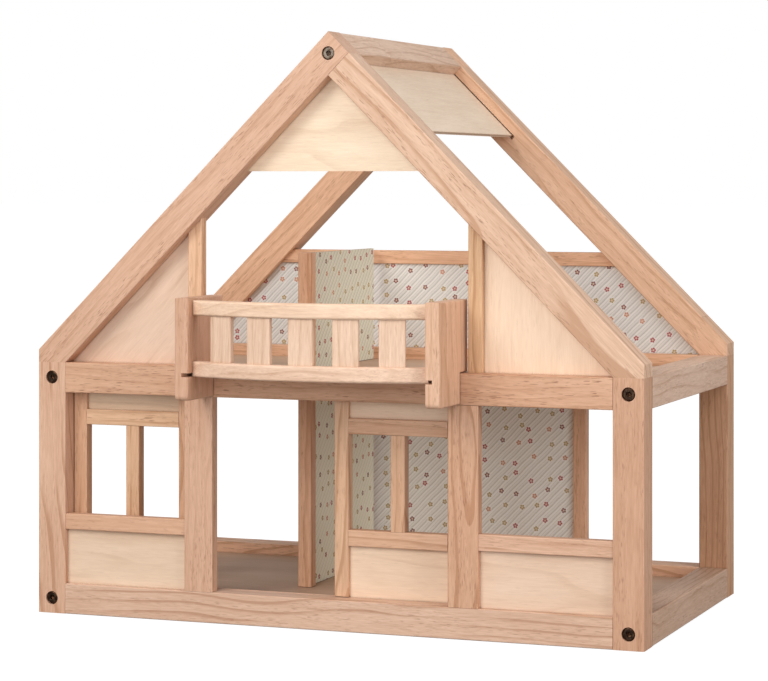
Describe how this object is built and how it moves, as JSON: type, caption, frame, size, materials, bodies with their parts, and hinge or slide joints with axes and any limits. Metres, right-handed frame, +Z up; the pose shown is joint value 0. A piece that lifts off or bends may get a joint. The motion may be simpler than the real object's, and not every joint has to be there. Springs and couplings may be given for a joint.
{
  "type": "wooden dollhouse",
  "caption": "Open two-storey wooden dollhouse with a steep roof frame, sliding doors, wallpapered partitions and a lift-off balcony.",
  "frame": {"origin": "on the ground at the middle of the whole house's box, balcony included", "axes": "+X to the right seen from the front, +Y from the front to the back, +Z up"},
  "size_m": [0.52, 0.361, 0.4789],
  "materials": {
    "frame_wood": "satin",
    "pale_wood": "satin",
    "pale_ply": "satin",
    "floor_ply": "satin",
    "wallpaper_board": "matte printed paper on ply",
    "dark_bolt": "dark bronze",
    "bright_bolt": "satin",
    "nut_steel": "satin"
  },
  "bodies": {
    "root": {"barrel_nuts": "nut_steel", "corner_bolts": "dark_bolt", "door_post_left": "frame_wood", "door_post_right": "frame_wood", "eave_panel_left": "pale_ply", "eave_panel_right": "pale_ply", "frame_dowels": "frame_wood", "front_base_rail": "frame_wood", "front_loft_beam": "frame_wood", "front_post_left": "frame_wood", "front_post_right": "frame_wood", "front_rafter_left": "frame_wood", "front_rafter_right": "frame_wood", "gable_panel": "pale_ply", "ground_floor": "floor_ply", "loft_floor": "floor_ply", "loft_stud_left": "frame_wood", "loft_stud_right": "frame_wood", "lower_front_panel_left": "pale_ply", "lower_front_panel_right": "pale_ply", "rear_base_rail": "frame_wood", "rear_loft_beam": "frame_wood", "rear_post_left": "frame_wood", "rear_post_right": "frame_wood", "rear_rafter_left": "frame_wood", "rear_rafter_right": "frame_wood", "rear_wall_lower": "wallpaper_board", "rear_wall_posts": "frame_wood", "rear_wall_rail": "frame_wood", "rear_wall_upper": "wallpaper_board", "ridge_beam": "frame_wood", "ridge_bolts": "bright_bolt", "roof_panel_left": "pale_ply", "roof_panel_right": "pale_ply", "side_base_rail_left": "frame_wood", "side_base_rail_right": "frame_wood", "side_loft_beam_left": "frame_wood", "side_loft_beam_right": "frame_wood", "window_sill_left": "frame_wood", "window_sill_right": "frame_wood"},
    "left_door": {"door_left_muntin": "frame_wood", "door_left_panels": "pale_ply", "door_left_rails": "frame_wood", "door_left_stiles": "frame_wood"},
    "right_door": {"door_right_muntin": "frame_wood", "door_right_panels": "pale_ply", "door_right_rails": "frame_wood", "door_right_stiles": "frame_wood"},
    "lower_partition": {"lower_partition_board": "wallpaper_board", "lower_partition_edge": "frame_wood"},
    "upper_partition": {"upper_partition_board": "wallpaper_board", "upper_partition_edge": "frame_wood"},
    "balcony": {"balcony_balusters": "pale_wood", "balcony_bracket_left": "frame_wood", "balcony_bracket_right": "frame_wood", "balcony_floor": "pale_wood", "balcony_low_rail": "pale_wood", "balcony_pins": "pale_wood", "balcony_top_rail": "pale_wood"}
  },
  "joints": [
    {"name": "left_door_slide", "type": "slide", "parent": "root", "child": "left_door", "axis": [1, 0, 0], "range_m": [0, 0.124]},
    {"name": "right_door_slide", "type": "slide", "parent": "root", "child": "right_door", "axis": [1, 0, 0], "range_m": [0, 0.1265]},
    {"name": "lower_partition_slide", "type": "slide", "parent": "root", "child": "lower_partition", "axis": [1, 0, 0], "range_m": [-0.16, 0.29]},
    {"name": "upper_partition_slide", "type": "slide", "parent": "root", "child": "upper_partition", "axis": [1, 0, 0], "range_m": [-0.16, 0.29]},
    {"name": "balcony_lift", "type": "slide", "parent": "root", "child": "balcony", "axis": [0, 0, 1], "range_m": [0, 0.06]}
  ]
}
